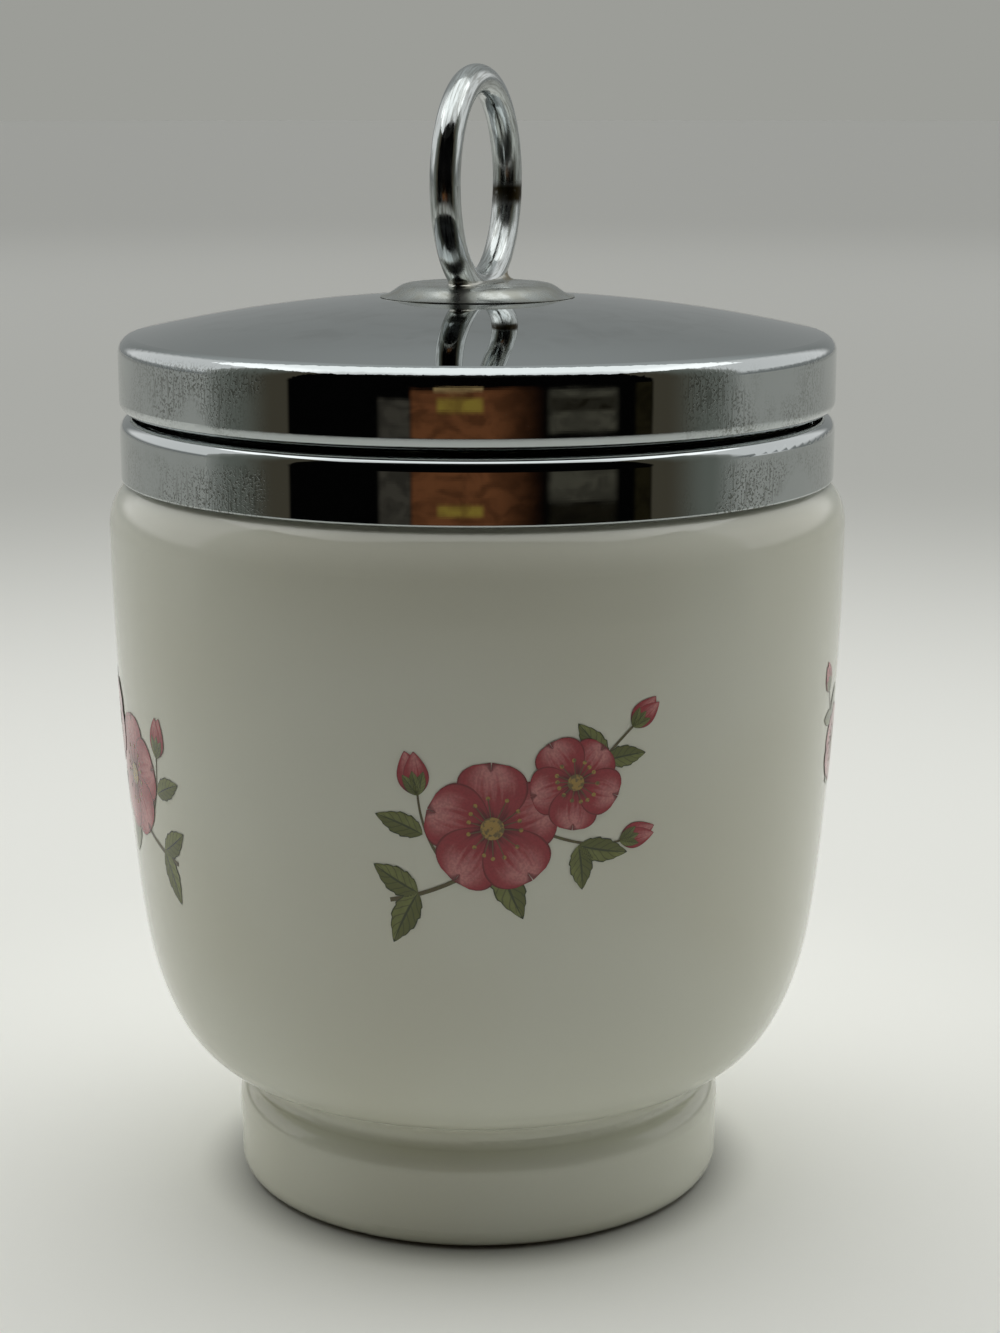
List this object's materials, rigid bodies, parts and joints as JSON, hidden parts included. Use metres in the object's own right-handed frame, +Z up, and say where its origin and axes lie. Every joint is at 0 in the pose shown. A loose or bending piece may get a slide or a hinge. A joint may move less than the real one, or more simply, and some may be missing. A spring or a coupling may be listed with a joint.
{
  "type": "egg coddler",
  "caption": "Footed porcelain cup with a chromed metal collar and a screw-on domed metal lid, lifted by an upright wire ring.",
  "frame": {"origin": "middle of the foot ring's resting plane, on the cup's axis", "axes": "+Z up along the cup's axis; -Y is the side with the front floral spray; the lifting ring's plane stands 17.4 degrees clockwise from +Y, seen from above"},
  "size_m": [0.0726, 0.0726, 0.1114],
  "materials": {
    "glazed_porcelain": "ivory white, high gloss glaze with fired floral transfers",
    "potting_cement": "dry cement, hidden between neck and collar",
    "chrome_plate": "bright chrome plate on pressed brass, lightly worn",
    "bright_tinplate": "pressed metal, satin",
    "braze_metal": "plated braze with a faint brown stain"
  },
  "bodies": {
    "cup": {"porcelain_cup": "glazed_porcelain", "collar_cement": "potting_cement", "threaded_collar": "chrome_plate"},
    "rivet": {"finial_rivet": "bright_tinplate", "rivet_washer": "bright_tinplate"},
    "lid": {"lid_shell": "chrome_plate", "lid_thread_ring": "bright_tinplate", "finial_disc": "chrome_plate", "lift_ring": "chrome_plate", "ring_braze": "braze_metal"}
  },
  "joints": [
    {"name": "lid_lift", "type": "slide", "parent": "cup", "child": "rivet", "axis": [0, 0, 1], "range_m": [0, 0.00625]},
    {"name": "lid_turn", "type": "hinge", "parent": "rivet", "child": "lid", "pos_m": [0, 0, 0.07915], "axis": [0, 0, 1], "range_deg": [0, 900]}
  ],
  "couplings": [
    {"joint": "lid_lift", "follows": "lid_turn", "m_per_rad": 0.00039789}
  ]
}
